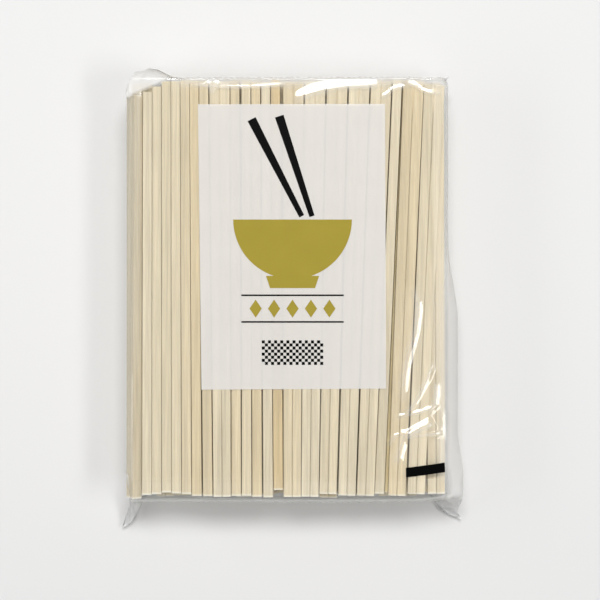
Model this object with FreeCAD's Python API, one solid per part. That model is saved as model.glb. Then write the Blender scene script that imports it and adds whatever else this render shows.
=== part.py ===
import FreeCAD, Part
import math
import os

# A bag of disposable chopsticks, in millimetres. It lies on its underside, in the plane z = 0.
# +Y points to the heads, the thick ends where each pair is still joined, and -Y to the tips.

# One unsplit pair
PAIR_LENGTH = 203.0
HEAD_WIDTH = 10.1
TIP_WIDTH = 8.4
HEAD_THICKNESS = 4.4
TIP_THICKNESS = 4.7
EDGE_CHAMFER = 0.25
GROOVE_WIDTH = 1.0
GROOVE_DEPTH = 0.4
SLIT_WIDTH = 0.12
HEAD_BRIDGE = 16.0

# Room between neighbours in a layer, between layers, and between the wood and the film
SIDE_CLEARANCE = 0.15
LAYER_CLEARANCE = 0.15
FILM_CLEARANCE = 0.3
END_CLEARANCE = 0.6
# How much wider the bag is than the widest layer
BAG_SLACK = 4.6

# Covered layers of flat pairs, from the bottom up, and how unevenly they lie
BOTTOM_COUNT = 13
INNER_COUNTS = (14, 14, 14, 15)
ROW_SLIP = 1.2
TIP_UNEVENNESS = 0.75

# Film bag: wall, corners of its cross-section, and its two welded ends
FILM_WALL = 0.25
LOWER_CORNER = 10.0
UPPER_CORNER = 2.0
HEAD_SEAL_LEVEL = 13.0
HEAD_CLOSURE = 1.6
HEAD_SEAL = 8.0
TIP_SEAL_LEVEL = 1.3
TIP_CLOSURE = 1.4
TIP_SEAL = 2.0

# Rolls of a pair about its own length
FLAT = 0.0
ON_EDGE = 90.0
LEANING = 120.0

# The pairs on top, from left to right: the roll, the spare room before the pair's head and before
# its tip, how far the pair has slipped towards the heads, and how much shorter than the rest it
# was sawn, at its head.
TOP_PAIRS = (
    (LEANING, 0.0, 0.0, -0.9, 5.8),
    (ON_EDGE, 0.0, 0.0, 0.9, 6.0),
    (ON_EDGE, 0.0, 0.0, 1.3, 3.8),
    (ON_EDGE, 0.0, 0.05, 2.1, 2.0),
    (ON_EDGE, 0.0, 0.0, 1.6, 1.5),
    (ON_EDGE, 0.0, 0.1, 1.3, 0.8),
    (ON_EDGE, 0.0, 0.15, 0.4, 0.0),
    (ON_EDGE, 0.1, 0.5, 0.3, 0.0),
    (FLAT, 0.3, 0.35, 0.2, 0.0),
    (ON_EDGE, 0.2, 0.15, 0.4, 0.0),
    (ON_EDGE, 0.9, 0.2, 0.5, 0.0),
    (ON_EDGE, 0.2, 0.25, 0.0, 0.0),
    (ON_EDGE, 0.3, 0.55, -0.3, 0.0),
    (ON_EDGE, 0.2, 0.15, 3.3, 2.5),
    (FLAT, 1.4, 0.05, 0.1, 0.0),
    (FLAT, 0.4, 0.1, 0.2, 0.0),
    (FLAT, 0.6, 0.2, 1.5, 0.5),
    (FLAT, 0.6, 0.65, 0.7, 0.0),
    (FLAT, 0.5, 0.55, 0.6, 0.0),
    (ON_EDGE, 0.4, 0.1, 1.4, 0.5),
    (FLAT, 0.6, 1.7, 0.6, 0.0),
    (FLAT, 0.0, 0.8, 1.4, 2.8),
)
# The spare room right of the last head and the last tip. All spare room grows and shrinks with the bag.
RIGHT_OF_LAST_HEAD = 1.5
RIGHT_OF_LAST_TIP = 11.3
# Below the head of each flat pair on top lies the head of a second one: its spare room at the tip,
# its slip, and how much shorter it was sawn. The last one's tip shows beside the pair above it.
SECOND_PAIRS = (
    (0.3, 0.9, 0.0),
    (0.1, -0.4, 0.0),
    (0.2, 1.1, 0.0),
    (0.4, -1.0, 0.0),
    (0.5, 0.5, 0.0),
    (0.3, -0.2, 0.0),
    (0.3, 1.3, 0.0),
    (12.4, 0.9, 3.4),
)

# Loose corners of film at the folded seals: points in plan, each measured outwards from the
# corner of the bag, across and along.
RIGHT_TIP_EAR = ((-5.0, 0.0), (5.6, -1.2), (2.4, 9.0))
LEFT_TIP_EAR = ((-5.0, 0.0), (0.0, -1.2), (2.6, 9.0), (0.2, 13.0))
LEFT_HEAD_EAR = ((-12.0, 0.0), (0.0, -1.2), (-1.5, 1.8), (-7.5, 5.0))


def outline(width, thickness):
    """Points round a pair, square to its length: chamfered edges, and a V-groove in each face."""
    half, up = width / 2, thickness / 2
    right = [
        (GROOVE_WIDTH / 2, up),
        (half - EDGE_CHAMFER, up),
        (half, up - EDGE_CHAMFER),
        (half, EDGE_CHAMFER - up),
        (half - EDGE_CHAMFER, -up),
        (GROOVE_WIDTH / 2, -up),
        (0.0, GROOVE_DEPTH - up),
    ]
    return right + [(-x, -z) for x, z in right]


def flat_face(points):
    return Part.Face(Part.makePolygon(points + points[:1]))


def chopstick_pair():
    """One pair lying flat round the origin: tapered both ways, and slit from its tip."""
    half = PAIR_LENGTH / 2
    tip = [FreeCAD.Vector(x, -half, z) for x, z in outline(TIP_WIDTH, TIP_THICKNESS)]
    head = [FreeCAD.Vector(x, half, z) for x, z in outline(HEAD_WIDTH, HEAD_THICKNESS)]
    faces = [flat_face(tip), flat_face(head)]
    for i in range(len(tip)):
        faces.append(flat_face([tip[i - 1], tip[i], head[i], head[i - 1]]))
    blank = Part.makeSolid(Part.makeShell(faces))
    slit_length = PAIR_LENGTH - HEAD_BRIDGE
    height = 2 * max(HEAD_THICKNESS, TIP_THICKNESS)
    slit = Part.makeBox(SLIT_WIDTH, 2 * slit_length, height)
    slit.translate(FreeCAD.Vector(-SLIT_WIDTH / 2, -half - slit_length, -height / 2))
    return blank.cut(slit)


def sawn_short(pair, length):
    """The pair with a length sawn off its head."""
    if length == 0.0:
        return pair
    waste = Part.makeBox(2 * HEAD_WIDTH, length, 2 * HEAD_THICKNESS)
    waste.translate(FreeCAD.Vector(-HEAD_WIDTH, PAIR_LENGTH / 2 - length, -HEAD_THICKNESS))
    return pair.cut(waste)


def rolled_size(roll, width, thickness):
    """Width and height that a pair takes up when it is rolled."""
    c, s = abs(math.cos(math.radians(roll))), abs(math.sin(math.radians(roll)))
    return width * c + thickness * s, width * s + thickness * c


def head_size(roll):
    return rolled_size(roll, HEAD_WIDTH, HEAD_THICKNESS)


def tip_size(roll):
    return rolled_size(roll, TIP_WIDTH, TIP_THICKNESS)


def placed(pair, roll, head_x, tip_x, level, slip):
    """A copy of the pair, lying on a level, with its head and its tip centred at two places in x."""
    half = PAIR_LENGTH / 2
    head = FreeCAD.Vector(head_x, half, level[0] + head_size(roll)[1] / 2)
    tip = FreeCAD.Vector(tip_x, -half, level[1] + tip_size(roll)[1] / 2)
    along = head - tip
    turn = FreeCAD.Rotation(FreeCAD.Vector(0, 1, 0), along)
    turn = turn.multiply(FreeCAD.Rotation(FreeCAD.Vector(0, 1, 0), roll))
    middle = (head + tip) * 0.5 + along.normalize() * slip
    solid = pair.copy()
    solid.Placement = FreeCAD.Placement(middle, turn)
    return solid


def laid_out(widths, gaps):
    """Centres of things laid from x = 0 to the right, and where the last one ends."""
    centres = []
    edge = -SIDE_CLEARANCE
    for width, gap in zip(widths, gaps):
        centres.append(edge + SIDE_CLEARANCE + gap + width / 2)
        edge = centres[-1] + width / 2
    return centres, edge


def raised(level, layers=1):
    """A level, given at the heads and at the tips, so many flat layers higher."""
    head_step = HEAD_THICKNESS + LAYER_CLEARANCE
    tip_step = TIP_THICKNESS + LAYER_CLEARANCE
    return level[0] + layers * head_step, level[1] + layers * tip_step


def flat_row(pair, count, level, wave):
    """A layer of flat pairs: heads side by side, and tips fanned unevenly over the same width."""
    heads, row_width = laid_out([HEAD_WIDTH] * count, [0.0] * count)
    shares = [1.0 + TIP_UNEVENNESS * math.sin(2.4 * i + wave) for i in range(count)]
    room = row_width - count * TIP_WIDTH - (count - 1) * SIDE_CLEARANCE
    gaps = [room * share / (sum(shares) + 1.0) for share in shares]
    tips, _ = laid_out([TIP_WIDTH] * count, gaps)
    left = -row_width / 2
    slips = [ROW_SLIP * math.sin(1.7 * i + 2.3 * wave) for i in range(count)]
    return [placed(pair, FLAT, left + h, left + t, level, s) for h, t, s in zip(heads, tips, slips)]


def second_tips(tips, spread):
    """Where the tips of the second layer lie, between the pairs that stand on edge."""
    centres = []
    edge = 0.0
    for tip, (roll, _, _, _, _) in zip(tips, TOP_PAIRS):
        if roll != FLAT:
            edge = tip + tip_size(roll)[0] / 2
            continue
        gap = SECOND_PAIRS[len(centres)][0]
        centres.append(edge + SIDE_CLEARANCE + spread * gap + TIP_WIDTH / 2)
        edge = centres[-1] + TIP_WIDTH / 2
    return centres


def top_layers(pair, level, heads, tips, below_tips, left):
    """The mixed top: pairs on edge, and in the same height two layers of flat ones."""
    upper = raised(level)
    top, second = [], []
    for head, tip, (roll, _, _, slip, short) in zip(heads, tips, TOP_PAIRS):
        floor = upper if roll == FLAT else level
        top.append(placed(sawn_short(pair, short), roll, left + head, left + tip, floor, slip))
        if roll == FLAT:
            tip_below = below_tips[len(second)]
            _, slip_below, short_below = SECOND_PAIRS[len(second)]
            below = sawn_short(pair, short_below)
            second.append(placed(below, FLAT, left + head, left + tip_below, level, slip_below))
    return top, second


def film_skin(inset, half, head_y, tip_y, head_top, tip_top):
    """A closed body of the bag's outer form, or, with an inset, of the room inside it."""
    wide = half - inset
    side = [
        (tip_y - TIP_CLOSURE + inset, TIP_SEAL_LEVEL),
        (tip_y + inset, inset),
        (head_y - inset, inset),
        (head_y + HEAD_CLOSURE - inset, HEAD_SEAL_LEVEL),
        (head_y - inset, head_top - inset),
        (tip_y + inset, tip_top - inset),
    ]
    profile = flat_face([FreeCAD.Vector(-wide, y, z) for y, z in side])
    body = profile.extrude(FreeCAD.Vector(2 * wide, 0, 0))
    lower = [edge for edge in long_edges(body) if edge.BoundBox.ZMax < tip_top / 2]
    body = body.makeFillet(LOWER_CORNER - inset, lower)
    upper = [edge for edge in long_edges(body) if edge.BoundBox.ZMin > tip_top / 2]
    return body.makeFillet(UPPER_CORNER - inset, upper)


def long_edges(body):
    return [edge for edge in body.Edges if edge.BoundBox.YLength > PAIR_LENGTH]


def ear(corners, side, end, half, seal_y, level):
    """A loose corner of doubled film, flat, at one end of a seal."""
    points = []
    for across, along in corners:
        points.append(FreeCAD.Vector(side * (half + across), seal_y + end * along, level - FILM_WALL))
    return flat_face(points).extrude(FreeCAD.Vector(0, 0, 2 * FILM_WALL))


def film_bag(half, head_y, tip_y, head_top, tip_top):
    """The bag: a skin round the pairs that narrows to a weld at each end, each weld folded over."""
    outer = film_skin(0.0, half, head_y, tip_y, head_top, tip_top)
    bag = outer.cut(film_skin(FILM_WALL, half, head_y, tip_y, head_top, tip_top))
    double = 2 * FILM_WALL
    head_edge = head_y + HEAD_CLOSURE
    tip_edge = tip_y - TIP_CLOSURE
    head_seal = Part.makeBox(2 * half, double, HEAD_SEAL)
    head_seal.translate(FreeCAD.Vector(-half, head_edge - FILM_WALL / 2, HEAD_SEAL_LEVEL - FILM_WALL))
    tip_seal = Part.makeBox(2 * half, TIP_SEAL, double)
    tip_seal.translate(FreeCAD.Vector(-half, tip_edge - TIP_SEAL, TIP_SEAL_LEVEL - FILM_WALL))
    ears = [
        ear(RIGHT_TIP_EAR, 1, -1, half, tip_edge, TIP_SEAL_LEVEL),
        ear(LEFT_TIP_EAR, -1, -1, half, tip_edge, TIP_SEAL_LEVEL),
        ear(LEFT_HEAD_EAR, -1, 1, half, head_edge, HEAD_SEAL_LEVEL),
    ]
    return bag.fuse([head_seal, tip_seal] + ears)


def export(name, solids):
    shape = solids[0] if len(solids) == 1 else Part.makeCompound(solids)
    shape.exportStep(os.path.join("parts", name + ".step"))


def export_each(name, solids):
    for number, solid in enumerate(solids, 1):
        export(f"{name}_{number:02d}", [solid])


def main():
    os.makedirs("parts", exist_ok=True)
    pair = chopstick_pair()
    rolls = [row[0] for row in TOP_PAIRS]
    head_widths = [head_size(roll)[0] for roll in rolls]
    tip_widths = [tip_size(roll)[0] for roll in rolls]
    _, heads_width = laid_out(head_widths, [0.0] * len(rolls))
    _, tips_width = laid_out(tip_widths, [0.0] * len(rolls))
    _, widest_row = laid_out([HEAD_WIDTH] * max(INNER_COUNTS), [0.0] * max(INNER_COUNTS))
    room = max(heads_width, tips_width, widest_row) + BAG_SLACK
    head_gaps = [row[1] for row in TOP_PAIRS]
    head_spread = (room - heads_width) / (sum(head_gaps) + RIGHT_OF_LAST_HEAD)
    heads, _ = laid_out(head_widths, [head_spread * gap for gap in head_gaps])
    tip_gaps = [row[2] for row in TOP_PAIRS]
    tip_spread = (room - tips_width) / (sum(tip_gaps) + RIGHT_OF_LAST_TIP)
    tips, _ = laid_out(tip_widths, [tip_spread * gap for gap in tip_gaps])
    below_tips = second_tips(tips, tip_spread)

    floor = FILM_WALL + FILM_CLEARANCE
    level = (floor, floor)
    export_each("bottom_pair", flat_row(pair, BOTTOM_COUNT, level, 0.4))
    for number, count in enumerate(INNER_COUNTS, 2):
        level = raised(level)
        export(f"inner_row_{number}", flat_row(pair, count, level, 1.3 * number))
    level = raised(level)
    top, second = top_layers(pair, level, heads, tips, below_tips, -room / 2)
    export_each("top_pair", top)
    export_each("second_pair", second)

    over = FILM_CLEARANCE + FILM_WALL
    head_slips = [row[3] - row[4] for row in TOP_PAIRS] + [row[1] - row[2] for row in SECOND_PAIRS]
    tip_slips = [row[3] for row in TOP_PAIRS] + [row[1] for row in SECOND_PAIRS]
    head_y = PAIR_LENGTH / 2 + max(head_slips + [ROW_SLIP]) + END_CLEARANCE + FILM_WALL
    tip_y = -PAIR_LENGTH / 2 + min(tip_slips + [-ROW_SLIP]) - END_CLEARANCE - FILM_WALL
    two_flat = raised(level, 2)
    head_top = max([level[0] + head_size(roll)[1] for roll in rolls] + [two_flat[0]]) + over
    tip_top = max([level[1] + tip_size(roll)[1] for roll in rolls] + [two_flat[1]]) + over
    half = room / 2 + over
    export("film_bag", [film_bag(half, head_y, tip_y, head_top, tip_top)])


main()
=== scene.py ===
import math

import bpy
import bmesh
import numpy as np
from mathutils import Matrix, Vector
from mathutils.bvhtree import BVHTree
from mathutils.geometry import delaunay_2d_cdt


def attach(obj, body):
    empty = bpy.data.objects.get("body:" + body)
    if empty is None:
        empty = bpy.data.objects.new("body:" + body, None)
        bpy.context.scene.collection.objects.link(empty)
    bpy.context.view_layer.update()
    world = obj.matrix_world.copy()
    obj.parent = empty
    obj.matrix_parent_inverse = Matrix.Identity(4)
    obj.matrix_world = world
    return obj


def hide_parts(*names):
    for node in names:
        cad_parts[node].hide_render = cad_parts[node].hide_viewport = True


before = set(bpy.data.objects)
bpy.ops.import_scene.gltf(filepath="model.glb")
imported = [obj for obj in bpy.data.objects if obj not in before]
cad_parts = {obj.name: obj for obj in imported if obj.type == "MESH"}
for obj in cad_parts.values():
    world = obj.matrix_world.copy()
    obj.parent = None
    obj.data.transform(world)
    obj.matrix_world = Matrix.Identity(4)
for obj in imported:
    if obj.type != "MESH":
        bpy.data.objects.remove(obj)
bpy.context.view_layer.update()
bpy.context.scene.view_settings.view_transform = "Standard"

# The pairs. Each is one strip of pale aspen, sawn with a taper, grooved down the middle and slit from
# its tip, so that two sticks hang together at the head until they are pulled apart. They are left bare:
# the wood shows fine straight grain and darker streaks, and its fibres are torn and paler at the tips. The
# tips are also painted lighter, a painted highlight for the film's glint where it is drawn over them.
WOOD_COLOUR = (0.735, 0.642, 0.47)
WOOD_WARM = (0.70, 0.53, 0.28)
WOOD_PALE = (0.79, 0.72, 0.57)
WOOD_LIGHTEST = 0.95
# Each kind of grain: its scale and detail, and the least and the most that it multiplies the colour by.
# The saw marks are a bump and leave the colour as it is.
GROWTH = (190.0, 2.0, 0.91, 1.06)
STREAKS = (560.0, 2.0, 0.91, 1.06)
FIBRES = (1500.0, 4.0, 0.87, 1.07)
SAW_MARKS = (2600.0, 3.0, 0.0, 1.0)
# Along a pair the scale of the grain is this share of its scale across. Each pair has grain of its own,
# shifted this far from the grain of the last one.
ALONG_THE_GRAIN = 0.022
GRAIN_SHIFT = (0.37, 1.3, 0.11)
# The torn fibres, with the painted highlight of the film's glint on the tips: their colour, how much of it
# shows at most, and where it starts to fade and is gone, in metres from the tip.
TORN_AND_HIGHLIGHT_COLOUR = (0.92, 0.89, 0.80, 1.0)
TORN_AND_HIGHLIGHT_SHARE = 0.55
TORN_AND_HIGHLIGHT_FADE = (0.0004, 0.0013)
# The tone of a pair runs from -1, orange heartwood, to 1, the palest sapwood.
COMMON_TONES = (-0.3, 0.45)
HEARTWOOD_TONE = -0.6
HEARTWOOD_PAIRS = ("top_pair_14", "second_pair_07")
# Pairs whose colour is painted darker or lighter than their tone makes it: painted shade on the leftmost
# pair, and painted light on the pair seen down a deep gap, where little light reaches.
PAINTED_LIGHT_AND_SHADE = {"top_pair_01": 0.85, "second_pair_07": 1.4}


def material(name):
    made = bpy.data.materials.new(name)
    made.use_nodes = True
    nodes = made.node_tree.nodes
    return made, nodes, made.node_tree.links, nodes["Principled BSDF"]


def spread_noise(nodes, links, vector, scale, detail, low, high):
    """Noise at a scale, spread so that it runs from low to high."""
    texture = nodes.new("ShaderNodeTexNoise")
    texture.inputs["Scale"].default_value = scale
    texture.inputs["Detail"].default_value = detail
    links.new(vector, texture.inputs["Vector"])
    spread = nodes.new("ShaderNodeMapRange")
    spread.inputs["From Min"].default_value = 0.3
    spread.inputs["From Max"].default_value = 0.7
    spread.inputs["To Min"].default_value = low
    spread.inputs["To Max"].default_value = high
    links.new(texture.outputs["Fac"], spread.inputs["Value"])
    return texture, spread.outputs["Result"]


def scaled_colour(nodes, links, colour, factor):
    vector = nodes.new("ShaderNodeVectorMath")
    vector.operation = "SCALE"
    links.new(colour, vector.inputs[0])
    links.new(factor, vector.inputs["Scale"])
    return vector.outputs["Vector"]


def wood(name, tone, painted_shading, seed, tip):
    """Bare sawn wood of one tone, with grain of its own, torn fibres and a painted highlight at its tip, and
    painted light or shade where the pair is given it.
    """
    made, nodes, links, shader = material(name)
    where = nodes.new("ShaderNodeTexCoord")
    stretched = nodes.new("ShaderNodeMapping")
    stretched.inputs["Location"].default_value = tuple(seed * shift for shift in GRAIN_SHIFT)
    stretched.inputs["Scale"].default_value = (1.0, ALONG_THE_GRAIN, 1.0)
    links.new(where.outputs["Object"], stretched.inputs["Vector"])
    toward = WOOD_PALE if tone > 0 else WOOD_WARM
    # For some pairs the colour is scaled by painted light or painted shade.
    mixed = [painted_shading * (w + abs(tone) * (t - w)) for w, t in zip(WOOD_COLOUR, toward)]
    plain = nodes.new("ShaderNodeRGB")
    plain.outputs[0].default_value = (*(min(channel, WOOD_LIGHTEST) for channel in mixed), 1.0)

    def grain(kind):
        texture, result = spread_noise(nodes, links, stretched.outputs["Vector"], *kind)
        texture.inputs["Roughness"].default_value = 0.62
        return result

    colour = plain.outputs[0]
    for kind in (GROWTH, STREAKS, FIBRES):
        colour = scaled_colour(nodes, links, colour, grain(kind))
    place = nodes.new("ShaderNodeSeparateXYZ")
    links.new(where.outputs["Object"], place.inputs[0])
    # Paler tips: torn fibres, and a painted highlight for the film's glint there.
    torn_and_highlight = nodes.new("ShaderNodeMapRange")
    torn_and_highlight.inputs["From Min"].default_value = tip + TORN_AND_HIGHLIGHT_FADE[0]
    torn_and_highlight.inputs["From Max"].default_value = tip + TORN_AND_HIGHLIGHT_FADE[1]
    torn_and_highlight.inputs["To Min"].default_value = TORN_AND_HIGHLIGHT_SHARE
    torn_and_highlight.inputs["To Max"].default_value = 0.0
    links.new(place.outputs["Y"], torn_and_highlight.inputs["Value"])
    ends = nodes.new("ShaderNodeMix")
    ends.data_type = "RGBA"
    ends.inputs[7].default_value = TORN_AND_HIGHLIGHT_COLOUR
    links.new(torn_and_highlight.outputs["Result"], ends.inputs[0])
    links.new(colour, ends.inputs[6])
    links.new(ends.outputs[2], shader.inputs["Base Color"])
    bump = nodes.new("ShaderNodeBump")
    bump.inputs["Strength"].default_value = 0.25
    bump.inputs["Distance"].default_value = 0.0002
    links.new(grain(SAW_MARKS), bump.inputs["Height"])
    links.new(bump.outputs["Normal"], shader.inputs["Normal"])
    shader.inputs["Roughness"].default_value = 0.72
    shader.inputs["Specular IOR Level"].default_value = 0.25
    shader.inputs["Subsurface Weight"].default_value = 0.5
    shader.inputs["Subsurface Radius"].default_value = (1.0, 0.95, 0.9)
    shader.inputs["Subsurface Scale"].default_value = 0.0018
    return made


tones = np.random.default_rng(7)
for seed, (name, node) in enumerate(sorted(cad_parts.items())):
    tone = tones.uniform(*COMMON_TONES)
    if name in HEARTWOOD_PAIRS:
        tone = HEARTWOOD_TONE
    if name != "film_bag":
        tip = min(v.co.y for v in node.data.vertices)
        node.data.materials.clear()
        node.data.materials.append(wood("wood_" + name, tone, PAINTED_LIGHT_AND_SHADE.get(name, 1.0), seed, tip))

# The film bag. Clear polypropylene film, drawn tight round the pairs and welded across both ends. The
# weld at the heads is folded up against them, the one at the tips lies on the table, and the film is
# loose and creased down its right side. Sizes are in millimetres until the mesh is made.
MM = 0.001
FILM_SHOULDER = 2.5
FILM_LOWER_CORNER = 9.0
# Room between the film and the wood: over it, at the sides, past the heads and past the tips. Between
# the highest pairs the film sinks a little.
FILM_ROOM = 0.25
SIDE_ROOM = 0.3
HEAD_ROOM = 0.3
TIP_ROOM = 0.8
FILM_SINK = 0.4
OFF_THE_TABLE = 0.05
LEAST_HEIGHT = 0.03
# The mesh is finer from here to the right, where the film is creased.
CREASED_FROM = 44.0
# Rays find where the pairs are. Round the bag they start this far out. Past its ends they start at these
# levels, over this much to either side.
RAYS_OUT = 30
RAYS_PAST_ENDS = 140
END_LEVELS = (3.0, 8.0, 12.0, 17.0, 21.5, 26.0, 31.0)
END_RAYS_HALF = 77.5
END_RAYS = 156
LEAST_REACH = 90.0
NO_TOUCH = -60.0
# How many times the film is smoothed, across its ends and over the whole of it.
END_TIGHTENING = 400
SETTLING = 260

pair_corners, pair_faces = [], []
for name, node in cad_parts.items():
    if name != "film_bag":
        first = len(pair_corners)
        pair_corners += [v.co / MM for v in node.data.vertices]
        pair_faces += [[first + i for i in face.vertices] for face in node.data.polygons]
pairs_tree = BVHTree.FromPolygons(pair_corners, pair_faces)
FILM_TOP = max(c.z for c in pair_corners) - FILM_SINK
FILM_HALF = SIDE_ROOM - min(c.x for c in pair_corners)


def steps(start, *stretches):
    """Numbers from the start through the end of each stretch, at about its spacing."""
    found = [start]
    for end, spacing in stretches:
        count = max(1, round(abs(end - found[-1]) / spacing))
        found += list(np.linspace(found[-1], end, count + 1)[1:])
    return found


def corner(x, z, radius, start, end):
    """The points of a rounded corner, without its ends, each with the way it faces."""
    angles = [math.radians(a) for a in np.linspace(start, end, 7)[1:-1]]
    return [(x + radius * math.cos(a), z + radius * math.sin(a), math.cos(a), math.sin(a)) for a in angles]


def fade(value, start, end):
    """0 before the start and 1 past the end, and smooth between. The end can be above or below."""
    t = np.clip((value - start) / (end - start), 0.0, 1.0)
    return t * t * (3 - 2 * t)


# The bag's section, as points round it: x and z, and which way the film faces there.
flat_half = FILM_HALF - FILM_SHOULDER
low_half = FILM_HALF - FILM_LOWER_CORNER
shoulder_z = FILM_TOP - FILM_SHOULDER
ring = [(-FILM_HALF, z, -1, 0) for z in steps(FILM_LOWER_CORNER, (shoulder_z, 1.8))]
ring += corner(-flat_half, shoulder_z, FILM_SHOULDER, 180, 90)
top_first = len(ring)
ring += [(x, FILM_TOP, 0, 1) for x in steps(-flat_half, (CREASED_FROM, 0.8), (flat_half, 0.5))]
top_last = len(ring)
ring += corner(flat_half, shoulder_z, FILM_SHOULDER, 90, 0)
ring += [(FILM_HALF, z, 1, 0) for z in steps(shoulder_z, (FILM_LOWER_CORNER, 1.2))]
ring += corner(low_half, FILM_LOWER_CORNER, FILM_LOWER_CORNER, 0, -90)
ring += [(x, OFF_THE_TABLE, 0, -1) for x in steps(low_half, (-low_half, 7.0))]
ring += corner(-low_half, FILM_LOWER_CORNER, FILM_LOWER_CORNER, 270, 180)
ring_x, ring_z, out_x, out_z = (np.array(ring)[:, k:k + 1] for k in range(4))


def pairs_reach(toward, room):
    """How far the pairs and some room past them reach at one end, smoothed across the bag as tight film
    smooths it."""
    across = np.linspace(-END_RAYS_HALF, END_RAYS_HALF, END_RAYS)
    reach = np.full(len(across), LEAST_REACH)
    for k, x in enumerate(across):
        for z in END_LEVELS:
            start = Vector((x, toward * RAYS_PAST_ENDS, z))
            hit = pairs_tree.ray_cast(start, Vector((0, -toward, 0)))[0]
            if hit is not None:
                reach[k] = max(reach[k], abs(hit.y))
    tight = reach.copy()
    for _ in range(END_TIGHTENING):
        tight[1:-1] = np.maximum(reach[1:-1], (tight[:-2] + tight[2:]) / 2)
    return toward * np.interp(ring_x, across, tight + room)


# From tips to heads the rows of points are closest where the film is creased, and at the heads.
tip_line, head_line = pairs_reach(-1, TIP_ROOM), pairs_reach(1, HEAD_ROOM)
rows = np.array(steps(0.0, (0.07, 0.005), (0.36, 0.0024), (0.93, 0.008), (1.0, 0.0028)))
film_y = tip_line + rows * (head_line - tip_line)

# How far out of the section each point has to stand for the film to clear what it touches.
touch = np.full(film_y.shape, NO_TOUCH)
for i, (x, z, across_out, up_out) in enumerate(ring):
    outward = Vector((across_out, 0, up_out))
    for j, y in enumerate(film_y[i]):
        place = Vector((x, y, z))
        hit = pairs_tree.ray_cast(place + RAYS_OUT * outward, -outward)[0]
        if hit is not None:
            touch[i, j] = (hit - place).dot(outward) + FILM_ROOM

# The loose right side stands off the wood, furthest at mid-height and toward the tips.
SLACK_AT_HEADS = 1.0
MORE_BELOW = 5.4
MORE_AT_TIPS = 2.8
LEAST_SLACK = 0.3
SLACK_HEIGHTS = (1, 32)
slack = SLACK_AT_HEADS + MORE_BELOW * fade(film_y, 26, -16) + MORE_AT_TIPS * fade(film_y, -70, -94)
up_the_side = np.clip((ring_z - SLACK_HEIGHTS[0]) / (SLACK_HEIGHTS[1] - SLACK_HEIGHTS[0]), 0, 1)
slack = slack * np.sin(np.pi * up_the_side) * np.maximum(out_x, 0)
touch = np.maximum(touch, np.where(slack > LEAST_SLACK, slack, NO_TOUCH))
# On top of the heads it is drawn level from side to side, over the pairs that were sawn short as well.
LEVEL_FROM = 91
LEVEL_SINK = 0.45
on_top = out_z > 0.5
touch = np.maximum(touch, np.where((film_y > LEVEL_FROM) & on_top, -LEVEL_SINK, NO_TOUCH))

# At both ends of the pairs the film tucks in, though hardly at all on top of the heads. Everywhere else it
# settles, step by step, to the mean of the points round it.
END_TUCK = 1.0
HEAD_TOP_TUCK = 0.1
lift = np.maximum(touch, 0.0)
lift[:, 0] = np.maximum(touch[:, 0], -END_TUCK)
lift[:, -1] = np.maximum(touch[:, -1], np.where(on_top[:, 0], -HEAD_TOP_TUCK, -END_TUCK))
for _ in range(SETTLING):
    x, z = ring_x + out_x * lift, ring_z + out_z * lift
    step_out = 0
    for grid, out in ((x, out_x), (z, out_z)):
        beside = np.roll(grid, 1, 0) + np.roll(grid, -1, 0)
        step_out = step_out + ((beside[:, 1:-1] + grid[:, 2:] + grid[:, :-2]) / 4 - grid[:, 1:-1]) * out
    lift[:, 1:-1] = np.maximum(touch[:, 1:-1], lift[:, 1:-1] + step_out)
    off_table = (ring_z - OFF_THE_TABLE) / np.maximum(-out_z, 0.01)
    lift = np.where(out_z < 0, np.minimum(lift, off_table), lift)

# Creases in the loose film and at the heads: each its width, its height, and the points it runs through.
CREASES = (
    (2.6, 0.88, (61.6, 0.5), (63.6, -5.0), (64.1, -10.0), (62.4, -22.4), (59.2, -32.2), (57.2, -42.0),
     (56.6, -55.0)),
    (1.6, 0.55, (71.8, -36.0), (70.4, -39.0), (67.4, -47.0), (63.1, -54.9), (59.2, -60.1), (57.4, -62.6)),
    (1.4, 0.58, (53.0, -62.6), (55.9, -62.2), (58.9, -61.5), (64.4, -60.6), (69.3, -58.8), (72.3, -57.5),
     (74.4, -56.5)),
    (1.8, 0.31, (69.4, -62.0), (71.6, -57.6), (72.8, -52.0), (73.0, -45.5)),
    (1.6, 0.65, (48.9, -76.5), (51.9, -73.1), (54.9, -70.9), (59.2, -71.1), (64.1, -71.3), (70.2, -71.1),
     (76.2, -70.0)),
    (3.4, 1.42, (72.2, -65.0), (65.3, -68.6), (57.2, -73.3)),
    (2.8, 0.95, (58.2, -68.5), (56.4, -74.5), (55.4, -78.0), (53.8, -85.0)),
    (1.5, 0.42, (80.5, -57.5), (80.1, -66.5), (79.9, -76.0)),
    (3.0, 0.5, (3.0, 91.4), (9.0, 94.2), (16.4, 96.8), (27.2, 98.6), (38.5, 99.2), (45.0, 98.8)),
    (1.3, 0.2, (46.2, 93.0), (50.5, 96.0), (52.9, 98.2), (58.0, 98.6)),
    (1.3, 0.2, (59.0, 100.9), (63.4, 99.3), (66.3, 96.6), (70.0, 95.6), (76.6, 96.0)),
    (1.3, 0.22, (-38.5, 101.5), (-36.6, 95.5)),
    (1.3, 0.22, (-33.6, 101.5), (-36.2, 95.1)),
    (1.2, 0.12, (-46.0, 99.6), (-36.0, 99.2), (-30.0, 98.8), (-22.0, 98.4), (-10.0, 98.8), (0.0, 100.0)),
)
# A crease tapers off over this share of its length at each end, and shows as bent over this share of its
# width.
CREASE_TAPER = 0.14
CREASE_CORE = 0.6
RIPPLE = 0.06


def smoothed(points):
    """A smooth line through a few points, by cutting its corners three times."""
    line = np.array(points, float)
    for _ in range(3):
        near, far = 0.75 * line[:-1] + 0.25 * line[1:], 0.25 * line[:-1] + 0.75 * line[1:]
        line = np.vstack([line[:1], np.stack([near, far], 1).reshape(-1, 2), line[-1:]])
    return line


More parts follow.
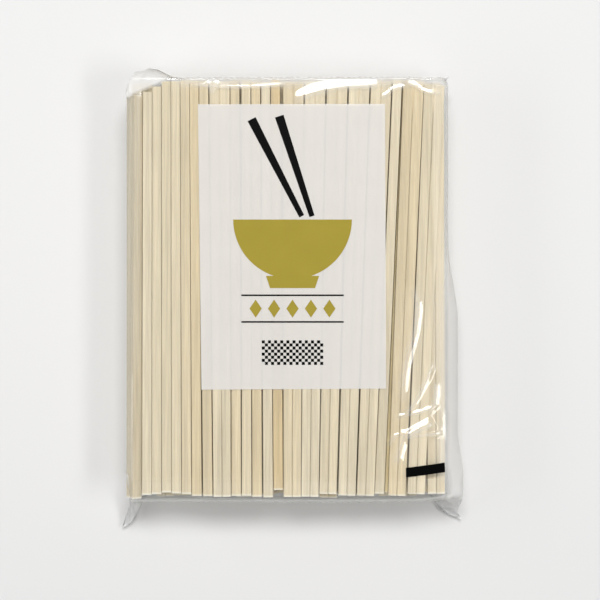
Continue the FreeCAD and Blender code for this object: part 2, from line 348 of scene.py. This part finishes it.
def creased(x, y):
    """The height of the creases at each place, and how sharply the film is bent there, 0 to 1."""
    height, bent = np.zeros(x.shape), np.zeros(x.shape)
    for width, rise, *points in CREASES:
        line = smoothed(points)
        along = np.concatenate([[0], np.cumsum(np.hypot(*np.diff(line, axis=0).T))])
        nearest, place = np.full(x.shape, 1e9), np.zeros(x.shape)
        for k in range(len(line) - 1):
            run = line[k + 1] - line[k]
            t = np.clip(((x - line[k, 0]) * run[0] + (y - line[k, 1]) * run[1]) / run.dot(run), 0, 1)
            far = np.hypot(x - line[k, 0] - t * run[0], y - line[k, 1] - t * run[1])
            closer = far < nearest
            nearest = np.where(closer, far, nearest)
            place = np.where(closer, along[k] + t * (along[k + 1] - along[k]), place)
        from_end = np.minimum(place, along[-1] - place)
        ends = np.sqrt(np.clip(from_end / (CREASE_TAPER * along[-1]), 0, 1))
        height = np.maximum(height, rise * ends * np.exp(-((nearest / width) ** 2)))
        bent = np.maximum(bent, ends * np.exp(-((nearest / (CREASE_CORE * width)) ** 2)))
    return height, bent


film_x, film_z = ring_x + out_x * lift, ring_z + out_z * lift
facing_up = fade(out_z, 0.0, 0.7)
height, bent = creased(film_x, film_y)
# Slow ripples run over the top.
ripple = np.sin(0.31 * film_x + 0.11 * film_y) * np.sin(0.17 * film_y - 0.23 * film_x + 1.0)
height = height + RIPPLE * ripple
film_x = film_x + out_x * height * facing_up
film_z = film_z + out_z * height * facing_up
bent = bent * facing_up
top_sheet = (film_x[top_first:top_last, 0], film_y[top_first:top_last], film_z[top_first:top_last])

# The welds. At each end: the height of the weld, how far its left and right corners stick out and the
# angle they turn by, how far the welded strip sticks out and how tall it is, and the rows that close the
# end. The two sheets of a weld lie close together, and each strip starts a little past the end.
WELD_CORNER = 12
WELD_ROWS = 9
HALF_GAP = 0.12
TALL_STRIP_START = 0.45
FLAT_STRIP_START = 0.2
TIP_WELD = {"level": 1.3, "ear_left": (16.0, 71.0), "ear_right": (14.6, 48.0), "out": 1.1, "tall": 0.0,
            "closing": 12}
HEAD_WELD = {"level": 13.0, "ear_left": (0.6, 60.0), "ear_right": (1.5, 20.0), "out": 0.0, "tall": 8.0,
             "closing": 10}


def tip_weld_y(x):
    """The line of the weld at the tips."""
    return -106.2 - 0.4 * np.sin(0.05 * x + 0.6)


def head_weld_y(x):
    """The line of the weld at the heads. It stands out near the left corner and is drawn in at it."""
    return 104.9 + 5.0 * np.exp(-(((x + 67) / 8) ** 2)) - 12.0 * fade(-x, 70, 79)


def welded_end(toward, weld_y, level, ear_left, ear_right, out, tall, closing):
    """Rows of points that close one end of the bag: down over the ends of the pairs to the weld, then
    out along the welded strip."""
    column = 0 if toward < 0 else -1
    x, y, z = film_x[:, column], film_y[:, column], film_z[:, column]
    base_x, base_z = ring_x[:, 0], ring_z[:, 0]
    upper = base_z > level
    inner = FILM_HALF - WELD_CORNER
    along = np.where(np.abs(base_x) < inner, x, 0.0)
    for sign, (reach, _) in ((-1, ear_left), (1, ear_right)):
        for half in (upper, ~upper):
            group = np.where(half & (sign * base_x >= inner))[0]
            centre_z = FILM_TOP if half is upper else 0.0
            run = np.abs(base_x[group]) - inner + np.abs(base_z[group] - centre_z)
            along[group] = sign * (inner + run / run.max() * (WELD_CORNER + reach))
    past = np.maximum(np.abs(along) - FILM_HALF, 0.0)
    turn = np.radians(np.where(along < 0, ear_left[1], ear_right[1]))
    weld_x = np.sign(along) * (np.minimum(np.abs(along), FILM_HALF) + past * np.cos(turn))
    end_y = weld_y(along) + toward * past * np.sin(turn)
    # Small folds run down the upper sheet.
    folds = 0.22 * np.sin(0.9 * along) * np.sin(0.37 * along + 1.3) + 0.2 * np.sin(2.3 * along + 0.7)
    found = []
    for t in np.linspace(0, 1, closing + 1)[1:]:
        down, outward = 1 - np.cos(t * np.pi / 2), np.sin(t * np.pi / 2)
        bulge = toward * folds * np.sin(np.pi * t) * upper
        found.append((x + (weld_x - x) * down, y + (end_y - y) * outward + bulge, z + (level - z) * down))
    sheet = np.where(upper, -1, 1) * HALF_GAP
    curl = 0.34 + 0.07 * np.sin(0.13 * along)
    for t in np.linspace(0, 1, WELD_ROWS):
        if tall > 0:
            found.append((weld_x, end_y + toward * (TALL_STRIP_START + sheet), level + t * tall + 0 * z))
        else:
            outer_y = end_y + toward * (FLAT_STRIP_START + t * out)
            found.append((weld_x, outer_y, level - sheet + curl * t * out))
    return found, upper, along


tips, tip_upper, tip_along = welded_end(-1, tip_weld_y, **TIP_WELD)
heads, head_upper, head_along = welded_end(1, head_weld_y, **HEAD_WELD)


def with_ends(middle, part):
    """The middle rows of x, y or z, with those of both ends."""
    before = [row[part] for row in reversed(tips)]
    after = [row[part] for row in heads]
    return np.column_stack(before + [middle] + after)


# The loose corners past the pairs are crumpled, and so is the outer edge of the weld at the tips.
CRUMPLE_HEIGHT = 1.1
PAST_PAIRS = 104
TIP_WELD_EDGE = (107.8, 110.0)
sheet_x, sheet_y, sheet_z = with_ends(film_x, 0), with_ends(film_y, 1), with_ends(film_z, 2)
sheet_z = np.maximum(sheet_z, LEAST_HEIGHT)
crumple = np.sin(1.7 * sheet_x + 0.9 * sheet_y) * np.sin(1.1 * sheet_y - 0.8 * sheet_x + 0.5)
past_side = fade(np.abs(sheet_x), FILM_HALF - 3, FILM_HALF + 2) * (np.abs(sheet_y) > PAST_PAIRS)
past_corner = np.maximum(past_side, fade(-sheet_y, *TIP_WELD_EDGE))
sheet_z = sheet_z + past_corner * CRUMPLE_HEIGHT * (1 + crumple)

around, rows_long = sheet_x.shape
cells = []
for i in range(around):
    k = (i + 1) % around
    for j in range(rows_long - 1):
        cells.append((i * rows_long + j, k * rows_long + j, k * rows_long + j + 1, i * rows_long + j + 1))


def zipped(upper, along, column):
    """Triangles between the two sheets at the outer edge of a weld."""
    above = sorted(np.where(upper)[0], key=lambda i: along[i])
    below = sorted(np.where(~upper)[0], key=lambda i: along[i])
    found, a, b = [], 0, 0
    while a < len(above) - 1 or b < len(below) - 1:
        if b == len(below) - 1 or (a < len(above) - 1 and along[above[a + 1]] <= along[below[b + 1]]):
            found.append((above[a], above[a + 1], below[b]))
            a += 1
        else:
            found.append((above[a], below[b + 1], below[b]))
            b += 1
    return [tuple(i * rows_long + column for i in face) for face in found]


tip_edge = [face[::-1] for face in zipped(tip_upper, tip_along, 0)]
head_edge = zipped(head_upper, head_along, rows_long - 1)
points = np.column_stack([sheet_x.ravel(), sheet_y.ravel(), sheet_z.ravel()]) * MM
film_mesh = bpy.data.meshes.new("film")
film_mesh.from_pydata(points.tolist(), [], cells + tip_edge + head_edge)
shape = bmesh.new()
shape.from_mesh(film_mesh)
bmesh.ops.recalc_face_normals(shape, faces=shape.faces)
if shape.calc_volume(signed=True) < 0:
    bmesh.ops.reverse_faces(shape, faces=shape.faces)
for edge in shape.edges:
    if all(v.index % rows_long in (0, rows_long - 1) for v in edge.verts):
        edge.smooth = False
shape.to_mesh(film_mesh)
shape.free()
film_mesh.polygons.foreach_set("use_smooth", [True] * len(film_mesh.polygons))

# How milky the film is, from 0, clear, to 1. It is most so where it is gathered and at its welds, less
# down the loose right side and along the creases, and hardly at all where it is tight. The same white also
# holds painted light on the shaded loose side and corners, and painted highlights along the creases and tips.
CLEAR = 0.002
CREASE_WHITE_AND_HIGHLIGHT = 0.22
GATHERED = 0.68
HEAD_STRIP = 0.3
LOOSE_SIDE_MILK_AND_LIGHT = 0.52
LEFT_EDGE = 0.16
RIGHT_EDGE_MILK_AND_LIGHT = 0.3
RIGHT_TOP = 0.06
NEAR_EDGE = 0.2
CORNERS_MILK_AND_LIGHT = 0.6
CORNER_CRUMPLE = 0.22
TIP_STRIP_MILK_AND_HIGHLIGHT = 0.3
TIP_FOLD_MILK_AND_HIGHLIGHT = 0.4
HEAD_CORNER = 0.5
RIBS = 8
RIB = 0.45
RIB_GROOVE = 0.1
MILKIEST = 0.8
first_row, last_row = len(tips), rows_long - len(heads)
above_table = fade(sheet_z, 3, 16)
before_tips = fade(sheet_y, -98, -84)
milk_and_painted_light = np.full((around, rows_long), CLEAR)
# Along the creases the film is whitened: stress-whitening, and a painted highlight that stands in for their
# glints.
milk_and_painted_light[:, first_row:last_row] += CREASE_WHITE_AND_HIGHLIGHT * bent
# The left corner of the heads is gathered past a slanting line.
corner_line = 92.5 + 0.42 * np.maximum(sheet_x + 78, 0)
milk_and_painted_light += GATHERED * fade(sheet_y - corner_line, 0, 3.0) * fade(-sheet_x, 54, 63)
milk_and_painted_light += HEAD_STRIP * fade(sheet_y, 96.5, 101.5) * fade(sheet_x, -58, -48)
# Down the loose side the milk is streaked. It is painted light as well: the side is whitened where it is
# seen from above, to lift the shade that shows through it.
streaks = 0.75 + 0.25 * np.sin(0.4 * sheet_z + 0.03 * sheet_y)
upper_side = fade(sheet_x, FILM_HALF - 1.5, FILM_HALF + 2.5) * fade(sheet_z, 8, 24)
milk_and_painted_light += LOOSE_SIDE_MILK_AND_LIGHT * streaks * upper_side * fade(-sheet_y, -40, 40)
milk_and_painted_light += LEFT_EDGE * fade(-sheet_x, FILM_HALF - 5, FILM_HALF - 0.5)
# The right edge of the film is whitened too: milky film, and painted light on its shaded edge.
milk_and_painted_light += RIGHT_EDGE_MILK_AND_LIGHT * fade(sheet_x, FILM_HALF - 1.2, FILM_HALF + 0.6) * above_table
milk_and_painted_light += RIGHT_TOP * fade(sheet_x, 48, 60) * fade(-sheet_y, -10, 10) * before_tips
milk_and_painted_light += NEAR_EDGE * fade(sheet_x, 70, 78) * fade(-sheet_y, -60, -10) * before_tips * above_table
# The loose corners are milky where crumpled, and whitened more as painted light, as they lie in the pack's
# shadow.
milk_and_painted_light += past_corner * (CORNERS_MILK_AND_LIGHT + CORNER_CRUMPLE * crumple)
# The weld at the tips and the fold over their ends are whitened: milky film, and a painted highlight for the
# bright line along them.
milk_and_painted_light[:, :WELD_ROWS] += TIP_STRIP_MILK_AND_HIGHLIGHT
milk_and_painted_light[:, first_row - 3:first_row + 1] += TIP_FOLD_MILK_AND_HIGHLIGHT * (ring_z > 25)
# The strip of the weld at the heads is ribbed by the jaws that closed it.
milk_and_painted_light[:, -RIBS:] += np.where(np.arange(RIBS) % 2, RIB, RIB_GROOVE)
milk_and_painted_light[:, -WELD_ROWS:] += HEAD_CORNER * fade(-sheet_x[:, -WELD_ROWS:], 50, 60)
attribute = film_mesh.attributes.new("milk_and_painted_light", "FLOAT", "POINT")
attribute.data.foreach_set("value", np.clip(milk_and_painted_light, 0.0, MILKIEST).ravel())
# The sides are finely rubbed over a band that is narrower toward the tips, so they don't mirror the
# lamps, but for one smooth spot on the right. The near edge over the tips is rubbed too.
RUBBED_BAND = 9
NARROWER_BY = 4
RUBBED_TIPS = (92.3, 94)
SPOT_X = 78
SPOT_Y = -66.5
SPOT_HALF_WIDTH = 4
SPOT_HALF_LENGTH = 6.5
from_spot_x = (sheet_x - SPOT_X) / SPOT_HALF_WIDTH
from_spot_y = (sheet_y - SPOT_Y) / SPOT_HALF_LENGTH
spot = np.exp(-(from_spot_x ** 4) - (from_spot_y ** 6))
inner_edge = FILM_HALF - RUBBED_BAND + NARROWER_BY * fade(-sheet_y, 36, 44)
rubbed_sides = fade(np.abs(sheet_x) - inner_edge, 0, 3) * (1 - spot)
rubbed = np.maximum(rubbed_sides, fade(-sheet_y, *RUBBED_TIPS))
rubbed[:, :WELD_ROWS] = 0.0
attribute = film_mesh.attributes.new("rubbed", "FLOAT", "POINT")
attribute.data.foreach_set("value", rubbed.ravel())


def by_attribute(nodes, attribute):
    found = nodes.new("ShaderNodeAttribute")
    found.attribute_name = attribute
    return found.outputs["Fac"]


def between(nodes, links, value, low, high):
    """A number that runs from low to high as the value runs from 0 to 1."""
    made = nodes.new("ShaderNodeMapRange")
    made.inputs["To Min"].default_value = low
    made.inputs["To Max"].default_value = high
    links.new(value, made.inputs["Value"])
    return made.outputs["Result"]


def mixed_shader(nodes, links, first, second):
    made = nodes.new("ShaderNodeMixShader")
    links.new(first, made.inputs[1])
    links.new(second, made.inputs[2])
    return made


# The film's gloss: how rough it is where it is smooth and where it is rubbed, and how much it reflects
# face on and edge on. Of the light that falls on its milky places, this share passes through.
FILM_ROUGHNESS = (0.07, 0.5)
FILM_REFLECTS = (0.062, 0.2)
MILK_PASSES = 0.35


def clear_film(name):
    """Clear film: it lets light through, reflects at its surface, more so where it turns away, and is
    milky where it creases and in other places. Some of that milky white is painted light and painted
    highlight."""
    made, nodes, links, shader = material(name)
    shader.inputs["Base Color"].default_value = (0.97, 0.97, 0.965, 1.0)
    shader.inputs["Roughness"].default_value = 0.3
    clear = nodes.new("ShaderNodeBsdfTransparent")
    clear.inputs["Color"].default_value = (0.985, 0.988, 0.985, 1.0)
    gloss = nodes.new("ShaderNodeBsdfAnisotropic")
    wear = by_attribute(nodes, "rubbed")
    links.new(between(nodes, links, wear, *FILM_ROUGHNESS), gloss.inputs["Roughness"])
    turned_away = nodes.new("ShaderNodeLayerWeight")
    turned_away.inputs["Blend"].default_value = 0.5
    steep = nodes.new("ShaderNodeMath")
    steep.operation = "POWER"
    steep.inputs[1].default_value = 5.0
    links.new(turned_away.outputs["Facing"], steep.inputs[0])
    reflecting = mixed_shader(nodes, links, clear.outputs[0], gloss.outputs[0])
    links.new(between(nodes, links, steep.outputs[0], *FILM_REFLECTS), reflecting.inputs["Fac"])
    through = nodes.new("ShaderNodeBsdfTranslucent")
    through.inputs["Color"].default_value = (1.0, 1.0, 1.0, 1.0)
    milk = mixed_shader(nodes, links, shader.outputs[0], through.outputs[0])
    milk.inputs["Fac"].default_value = MILK_PASSES
    film = mixed_shader(nodes, links, reflecting.outputs[0], milk.outputs[0])
    links.new(by_attribute(nodes, "milk_and_painted_light"), film.inputs["Fac"])
    links.new(film.outputs[0], nodes["Material Output"].inputs["Surface"])
    return made


def piece(name, mesh, finish):
    """A finished piece of the pack, in its material. It rides on the pack's one body."""
    made = bpy.data.objects.new(name, mesh)
    bpy.context.scene.collection.objects.link(made)
    mesh.materials.append(finish)
    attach(made, "root")
    return made


film = piece("film", film_mesh, clear_film("clear_film"))
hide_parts("film_bag")

# The print. Three inks laid on the inside of the film before the bag is made: a thin white ground that the
# wood shows through a little, and on it dull gold and black shapes. A plain black bar near one corner is
# printed on the outside. Sizes are in millimetres, and depths are below the film.
INK_DEPTH = {"ink_white": 0.09, "ink_gold": 0.06, "ink_black": 0.05}
OUTSIDE_DEPTH = -0.09
INK_SPACING = 1.1
INK_INSET = 0.4


def film_height(x, y):
    """The film's height above a place, read from its top sheet."""
    xs, ys, zs = top_sheet
    i = min(max(int(np.searchsorted(xs, x)) - 1, 0), len(xs) - 2)
    across = (x - xs[i]) / (xs[i + 1] - xs[i])
    near, far = (np.interp(y, ys[k], zs[k]) for k in (i, i + 1))
    return near + across * (far - near)


def ink(name, slot, outlines, finish, depth=None):
    """One piece of ink from closed outlines in plan, laid under the film, or over it at a depth below 0."""
    depth = INK_DEPTH[slot] if depth is None else depth
    shape = bmesh.new()
    for outline in outlines:
        edge = np.array(outline, float)
        drawn = []
        for start, end in zip(edge, np.roll(edge, -1, 0)):
            count = max(1, int(np.hypot(*(end - start)) / INK_SPACING))
            drawn += [start + (end - start) * k / count for k in range(count)]
        box = zip(edge.min(0) + INK_INSET, edge.max(0))
        columns, lines = (np.arange(low, high, INK_SPACING) for low, high in box)
        inner = [(x, y) for x in columns for y in lines]
        places = [Vector(p) for p in drawn + inner]
        flat, _, faces, _, _, _ = delaunay_2d_cdt(places, [], [list(range(len(drawn)))], 1, 1e-4)
        corners = [shape.verts.new((p.x * MM, p.y * MM, (film_height(p.x, p.y) - depth) * MM)) for p in flat]
        for face in faces:
            shape.faces.new([corners[i] for i in face])
    bmesh.ops.recalc_face_normals(shape, faces=shape.faces)
    for face in shape.faces:
        face.smooth = True
        if face.normal.z < 0:
            face.normal_flip()
    mesh = bpy.data.meshes.new(name)
    shape.to_mesh(mesh)
    shape.free()
    return piece(name, mesh, finish)


def ink_finish(name, colour, alpha, uneven):
    """A dried ink: dull, flat in colour and a little uneven."""
    made, nodes, links, shader = material(name)
    where = nodes.new("ShaderNodeTexCoord")
    _, shade = spread_noise(nodes, links, where.outputs["Object"], 90.0, 3.0, 1.0 - uneven, 1.0 + uneven)
    plain = nodes.new("ShaderNodeRGB")
    plain.outputs[0].default_value = (*colour, 1.0)
    links.new(scaled_colour(nodes, links, plain.outputs[0], shade), shader.inputs["Base Color"])
    shader.inputs["Roughness"].default_value = 0.55
    shader.inputs["Specular IOR Level"].default_value = 0.02
    shader.inputs["Alpha"].default_value = alpha
    return made


def arc(x, y, radius, start, end, count=48):
    angles = np.radians(np.linspace(start, end, count))
    return [(x + radius * np.cos(a), y + radius * np.sin(a)) for a in angles]


def bar(x0, y0, x1, y1):
    return [(x0, y0), (x1, y0), (x1, y1), (x0, y1)]


def stick(x0, y0, w0, x1, y1, w1):
    """A tapered stick from one end to the other, with its width at each."""
    a, b = np.array([x0, y0]), np.array([x1, y1])
    run = (b - a) / math.hypot(*(b - a))
    side = np.array([-run[1], run[0]]) / 2
    return [tuple(place) for place in (a - side * w0, b - side * w1, b + side * w1, a + side * w0)]


def lozenge(x, y, half_width, half_height):
    return [(x - half_width, y), (x, y - half_height), (x + half_width, y), (x, y + half_height)]


def check_band(name, width, height, square, finish):
    """A mesh of the black squares of a check, in plan round the origin. Its nodes lay a grid of places,
    keep every other one and put a square on each."""
    tree = bpy.data.node_groups.new(name, "GeometryNodeTree")
    for label in ("Width", "Height", "Square"):
        tree.interface.new_socket(label, in_out="INPUT", socket_type="NodeSocketFloat")
    tree.interface.new_socket("Ink", in_out="INPUT", socket_type="NodeSocketMaterial")
    tree.interface.new_socket("Geometry", in_out="OUTPUT", socket_type="NodeSocketGeometry")
    nodes, links = tree.nodes, tree.links
    given, result = nodes.new("NodeGroupInput"), nodes.new("NodeGroupOutput")

    def math_node(operation, first, second):
        made = nodes.new("ShaderNodeMath")
        made.operation = operation
        for socket, value in zip(made.inputs, (first, second)):
            if isinstance(value, (int, float)):
                socket.default_value = value
            else:
                links.new(value, socket)
        return made.outputs[0]

    side = given.outputs["Square"]
    places, one = nodes.new("GeometryNodeMeshGrid"), nodes.new("GeometryNodeMeshGrid")
    counts = []
    for label, axis in (("Width", "X"), ("Height", "Y")):
        count = math_node("ROUND", math_node("DIVIDE", given.outputs[label], side), 0)
        links.new(math_node("MULTIPLY", side, math_node("SUBTRACT", count, 1)), places.inputs["Size " + axis])
        links.new(count, places.inputs["Vertices " + axis])
        links.new(side, one.inputs["Size " + axis])
        one.inputs["Vertices " + axis].default_value = 4
        counts.append(count)
    number = nodes.new("GeometryNodeInputIndex").outputs[0]
    column = math_node("FLOOR", math_node("DIVIDE", number, counts[1]), 0)
    row = math_node("SUBTRACT", number, math_node("MULTIPLY", column, counts[1]))
    odd = math_node("MODULO", math_node("ADD", column, row), 2)
    spread = nodes.new("GeometryNodeInstanceOnPoints")
    links.new(places.outputs["Mesh"], spread.inputs["Points"])
    links.new(math_node("GREATER_THAN", odd, 0.5), spread.inputs["Selection"])
    links.new(one.outputs["Mesh"], spread.inputs["Instance"])
    real = nodes.new("GeometryNodeRealizeInstances")
    links.new(spread.outputs[0], real.inputs[0])
    inked = nodes.new("GeometryNodeSetMaterial")
    links.new(real.outputs[0], inked.inputs["Geometry"])
    links.new(given.outputs["Ink"], inked.inputs["Material"])
    links.new(inked.outputs[0], result.inputs[0])
    holder = bpy.data.objects.new(name, bpy.data.meshes.new(name + "_base"))
    bpy.context.scene.collection.objects.link(holder)
    layout = holder.modifiers.new("layout", "NODES")
    layout.node_group = tree
    values = {"Width": width, "Height": height, "Square": square, "Ink": finish}
    for socket in tree.interface.items_tree:
        if socket.name in values:
            layout[socket.identifier] = values[socket.name]
    baked = bpy.data.meshes.new_from_object(holder.evaluated_get(bpy.context.evaluated_depsgraph_get()))
    holder.modifiers.remove(layout)
    bpy.data.objects.remove(holder)
    return baked


def laid(mesh, slot, x, y):
    """Moves a flat mesh to a place in the print and lays it against the film."""
    for vertex in mesh.vertices:
        vertex.co.x += x * MM
        vertex.co.y += y * MM
        above = film_height(vertex.co.x / MM, vertex.co.y / MM)
        vertex.co.z = (above - INK_DEPTH[slot]) * MM
    mesh.update()
    return mesh


# Each ink: its colour, how much it covers, and how uneven it is.
white_ink = ink_finish("white_ink", (0.86, 0.83, 0.80), 0.75, 0.012)
gold_ink = ink_finish("gold_ink", (0.385, 0.305, 0.045), 0.97, 0.03)
black_ink = ink_finish("black_ink", (0.002, 0.002, 0.002), 1.0, 0.05)
PANEL = [(-43.2, 90.3), (48.2, 90.5), (48.7, -48.6), (-41.5, -49.1)]
ink("ink_panel", "ink_white", [PANEL], white_ink)

# A bowl with its foot, in gold, and two black sticks that stand in it.
BOWL_X = 3.0
BOWL_Y = 34.0
BOWL_RADIUS = 29.0
FOOT_Y = BOWL_Y - 27.5
FOOT_HEIGHT = 6
FOOT_TOP_HALF = 13
FOOT_BASE_HALF = 11
bowl = arc(BOWL_X, BOWL_Y, BOWL_RADIUS, 180, 360)
foot = [(BOWL_X - FOOT_TOP_HALF, FOOT_Y), (BOWL_X - FOOT_BASE_HALF, FOOT_Y - FOOT_HEIGHT),
        (BOWL_X + FOOT_BASE_HALF, FOOT_Y - FOOT_HEIGHT), (BOWL_X + FOOT_TOP_HALF, FOOT_Y)]
ink("ink_bowl", "ink_gold", [bowl, foot], gold_ink)
STICK_WIDTH = 4.4
STICK_TIP_WIDTH = 2.6
STICK_TIP_Y = BOWL_Y + 1.6
sticks = [stick(-17.0, 83.0, STICK_WIDTH, 7.5, STICK_TIP_Y, STICK_TIP_WIDTH),
          stick(-3.5, 84.5, STICK_WIDTH, 12.5, STICK_TIP_Y, STICK_TIP_WIDTH)]
ink("ink_sticks", "ink_black", sticks, black_ink)

# Below the bowl: gold lozenges between two rules, and a band of black check.
LOZENGE_Y = -9.5
LOZENGE_STEP = 9.0
RULES_Y = (-3.4, -16.4)
RULE_HALF = 25
RULE_THICKNESS = 0.8
lozenges = [lozenge(BOWL_X + LOZENGE_STEP * k, LOZENGE_Y, 3.0, 4.4) for k in range(-2, 3)]
ink("ink_lozenges", "ink_gold", lozenges, gold_ink)
rules = [bar(BOWL_X - RULE_HALF, y, BOWL_X + RULE_HALF, y + RULE_THICKNESS) for y in RULES_Y]
ink("ink_rules", "ink_black", rules, black_ink)
CHECK_Y = -31.0
CHECK_WIDTH = 30.0
CHECK_HEIGHT = 12.0
CHECK_SQUARE = 1.5
band = check_band("ink_check", CHECK_WIDTH * MM, CHECK_HEIGHT * MM, CHECK_SQUARE * MM, black_ink)
check = laid(band, "ink_black", BOWL_X, CHECK_Y)
piece("ink_check", check, black_ink)
CORNER_BAR = [(58.3, -87.2), (77.4, -84.75), (77.65, -89.5), (58.4, -91.85)]
ink("ink_corner_bar", "ink_black", [CORNER_BAR], black_ink, OUTSIDE_DEPTH)

# The table, the lamps and the camera. The pack lies on a sheet of pale matt paper, in a dim room that is
# darkest overhead. A window behind the heads lights it most, with one lamp above, one at the right and a
# weak one at the left. The lamp above doesn't show in the film. Sizes are in metres.
FLOOR_REACH = 3.0
PAPER_COLOUR = (0.712, 0.708, 0.702, 1.0)
floor_corners = [(x * FLOOR_REACH, y * FLOOR_REACH, 0) for x, y in ((-1, -1), (1, -1), (1, 1), (-1, 1))]
floor = bpy.data.meshes.new("floor")
floor.from_pydata(floor_corners, [], [(0, 1, 2, 3)])
floor_object = bpy.data.objects.new("floor", floor)
bpy.context.scene.collection.objects.link(floor_object)
paper, _, _, paper_shader = material("floor_paper")
paper_shader.inputs["Base Color"].default_value = PAPER_COLOUR
paper_shader.inputs["Roughness"].default_value = 0.9
floor.materials.append(paper)

# Each lamp: its place, its width and length, its power, and whether it shows in what is glossy.
LAMPS = (
    ("window", (0.05, 0.78, 1.6), (0.9, 0.4), 22.4, True),
    ("overhead", (0.0, 0.0, 1.6), (0.3, 0.8), 3.6, False),
    ("side_window", (0.7, -0.17, 0.95), (0.6, 0.17), 3.5, True),
    ("left_fill", (-0.7, 0.0, 0.42), (0.9, 0.2), 1.6, True),
)
LIT_PLACE = Vector((0.0, 0.0, 0.02))
for name, place, (width, length), power, shows in LAMPS:
    light = bpy.data.lights.new(name, "AREA")
    light.shape = "RECTANGLE"
    light.size = width
    light.size_y = length
    light.energy = power
    lamp = bpy.data.objects.new(name, light)
    lamp.location = place
    lamp.rotation_euler = (LIT_PLACE - Vector(place)).to_track_quat("-Z", "Y").to_euler()
    lamp.visible_glossy = shows
    bpy.context.scene.collection.objects.link(lamp)

# The room's light, from its walls to straight overhead: it darkens between two heights, where straight
# up is 1.
ROOM_COLOUR = (0.97, 0.98, 1.0, 1.0)
ROOM_DARKENS = (0.90, 0.972)
ROOM_STRENGTH = (0.2, 0.04)
world = bpy.data.worlds.new("room")
world.use_nodes = True
nodes, links = world.node_tree.nodes, world.node_tree.links
direction = nodes.new("ShaderNodeTexCoord")
upward = nodes.new("ShaderNodeSeparateXYZ")
links.new(direction.outputs["Generated"], upward.inputs[0])
darkening = nodes.new("ShaderNodeMapRange")
darkening.interpolation_type = "SMOOTHSTEP"
for label, value in zip(("From Min", "From Max", "To Min", "To Max"), ROOM_DARKENS + ROOM_STRENGTH):
    darkening.inputs[label].default_value = value
links.new(upward.outputs["Z"], darkening.inputs["Value"])
nodes["Background"].inputs["Color"].default_value = ROOM_COLOUR
links.new(darkening.outputs["Result"], nodes["Background"].inputs["Strength"])
bpy.context.scene.world = world

# The camera looks straight down. Its lens gives a view FRAME_WIDTH wide at the level of the pack's top.
FRAME_WIDTH = 0.2934
CAMERA_PLACE = (0.00665, -0.0053)
CAMERA_HEIGHT = 0.66
TOP_LEVEL = 0.033
SENSOR_WIDTH = 36.0
camera = bpy.data.cameras.new("camera")
camera.sensor_width = SENSOR_WIDTH
camera.lens = SENSOR_WIDTH * (CAMERA_HEIGHT - TOP_LEVEL) / FRAME_WIDTH
camera_object = bpy.data.objects.new("camera", camera)
camera_object.location = (*CAMERA_PLACE, CAMERA_HEIGHT)
bpy.context.scene.collection.objects.link(camera_object)
bpy.context.scene.camera = camera_object
